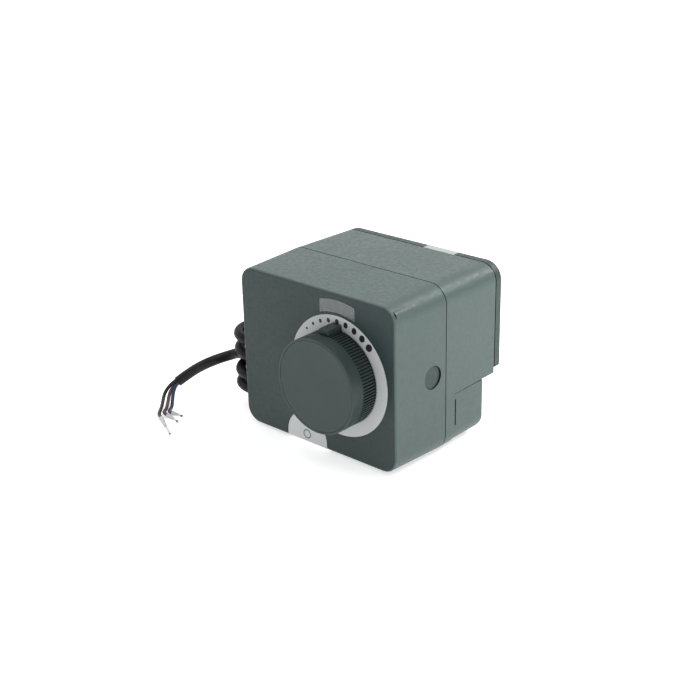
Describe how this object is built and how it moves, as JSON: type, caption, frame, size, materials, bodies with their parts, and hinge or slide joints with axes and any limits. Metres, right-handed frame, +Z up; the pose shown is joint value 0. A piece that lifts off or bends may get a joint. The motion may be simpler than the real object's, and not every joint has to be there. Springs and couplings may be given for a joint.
{
  "type": "motorised actuator head",
  "caption": "Boxed rotary actuator head for a mixing valve: ribbed manual knob on a dotted dial, gear train, declutch button and loose cable.",
  "frame": {"origin": "on the output axis, at the rear mounting face", "axes": "+X right seen from the front, +Y along the output axis towards the valve, +Z up"},
  "size_m": [0.1498, 0.12, 0.0864],
  "materials": {
    "casing_green": "fine spark-eroded satin texture",
    "light_grey_plastic": "satin",
    "smoked_lens": "translucent, glossy",
    "gear_plastic": "natural acetal",
    "dark_gear_plastic": "black acetal",
    "bronze": "sintered bronze",
    "zinc_steel": "zinc plated",
    "screw_steel": "zinc plated",
    "shaft_plastic": "glass-filled nylon",
    "black_rubber": "soft PVC sheath",
    "core_black_pvc": "PVC",
    "core_brown_pvc": "PVC",
    "core_blue_pvc": "PVC",
    "ferrule_white": "white collar",
    "tinned_copper": "tinned",
    "board_green": "solder mask",
    "capacitor_yellow": "moulded case",
    "connector_green": "moulded",
    "led_epoxy": "diffused",
    "switch_black": "moulded"
  },
  "bodies": {
    "frame": {"anti_rotation_insert": "light_grey_plastic", "board_connector": "connector_green", "board_pillars": "zinc_steel", "board_screws": "screw_steel", "cable_grommet": "black_rubber", "cable_sheath": "black_rubber", "case_screws_long": "screw_steel", "case_screws_short": "screw_steel", "clutch_spring": "zinc_steel", "control_board": "board_green", "core_black": "core_black_pvc", "core_blue": "core_blue_pvc", "core_brown": "core_brown_pvc", "dial_ring": "light_grey_plastic", "direction_leds": "led_epoxy", "ferrule_collars": "ferrule_white", "ferrule_pins": "tinned_copper", "front_cover": "casing_green", "front_gear_plate": "zinc_steel", "gear_axles": "zinc_steel", "gearbox_screws": "screw_steel", "limit_switches": "switch_black", "motor_can": "zinc_steel", "motor_screws": "screw_steel", "output_bush_front": "bronze", "output_bush_rear": "bronze", "plate_pillars": "zinc_steel", "plate_screws": "screw_steel", "rear_gear_plate": "zinc_steel", "rear_housing": "casing_green", "rear_plate": "casing_green", "rear_plate_screws": "screw_steel", "run_capacitor": "capacitor_yellow", "side_plug": "casing_green", "switch_screws": "screw_steel", "terminal_block": "connector_green", "window_lens": "smoked_lens", "wiring_cover": "casing_green"},
    "output": {"knob": "casing_green", "knob_cap": "casing_green", "knob_screw": "screw_steel", "output_shaft": "shaft_plastic", "output_gear": "gear_plastic", "limit_cam_open": "gear_plastic", "limit_cam_close": "gear_plastic"},
    "manual_clutch": {"manual_button": "light_grey_plastic", "clutch_spindle": "zinc_steel"},
    "clutch_gear": {"clutch_gear": "gear_plastic"},
    "third_gear": {"third_gear": "gear_plastic"},
    "first_gear": {"first_gear": "dark_gear_plastic"},
    "motor_rotor": {"motor_pinion": "dark_gear_plastic", "motor_shaft": "zinc_steel"},
    "open_switch_lever": {"switch_lever_open": "zinc_steel"},
    "close_switch_lever": {"switch_lever_close": "zinc_steel"}
  },
  "joints": [
    {"name": "output_turn", "type": "hinge", "parent": "frame", "child": "output", "pos_m": [0, 0, 0], "axis": [0, -1, 0], "range_deg": [-45, 45]},
    {"name": "button_press", "type": "slide", "parent": "frame", "child": "manual_clutch", "axis": [0, 1, 0], "range_m": [0, 0.0035], "stiffness_N_per_m": 900, "springref_m": -0.001, "deforming": ["clutch_spring"]},
    {"name": "clutch_gear_turn", "type": "hinge", "parent": "manual_clutch", "child": "clutch_gear", "pos_m": [-0.0221, -0.048, -0.029], "axis": [0, -1, 0], "range_deg": [-900.5, 900.5]},
    {"name": "third_gear_turn", "type": "hinge", "parent": "frame", "child": "third_gear", "pos_m": [-0.034, -0.044, -0.0117], "axis": [0, -1, 0], "range_deg": [-225.5, 225.5]},
    {"name": "first_gear_turn", "type": "hinge", "parent": "frame", "child": "first_gear", "pos_m": [-0.0343, -0.055, -0.0245], "axis": [0, -1, 0], "range_deg": [-3000.5, 3000.5]},
    {"name": "motor_turn", "type": "hinge", "parent": "frame", "child": "motor_rotor", "pos_m": [-0.0433, -0.06, -0.0151], "axis": [0, -1, 0], "range_deg": [-10000.5, 10000.5]},
    {"name": "open_lever_tilt", "type": "hinge", "parent": "frame", "child": "open_switch_lever", "pos_m": [0.0172, -0.0291, -0.0106], "axis": [0, 1, 0], "range_deg": [0, 3]},
    {"name": "close_lever_tilt", "type": "hinge", "parent": "frame", "child": "close_switch_lever", "pos_m": [0.0172, -0.0231, -0.0106], "axis": [0, 1, 0], "range_deg": [0, 3]}
  ],
  "couplings": [
    {"joint": "third_gear_turn", "follows": "output_turn", "ratio": -5},
    {"joint": "clutch_gear_turn", "follows": "output_turn", "ratio": 20},
    {"joint": "first_gear_turn", "follows": "output_turn", "ratio": -66.667},
    {"joint": "motor_turn", "follows": "output_turn", "ratio": 222.22}
  ]
}
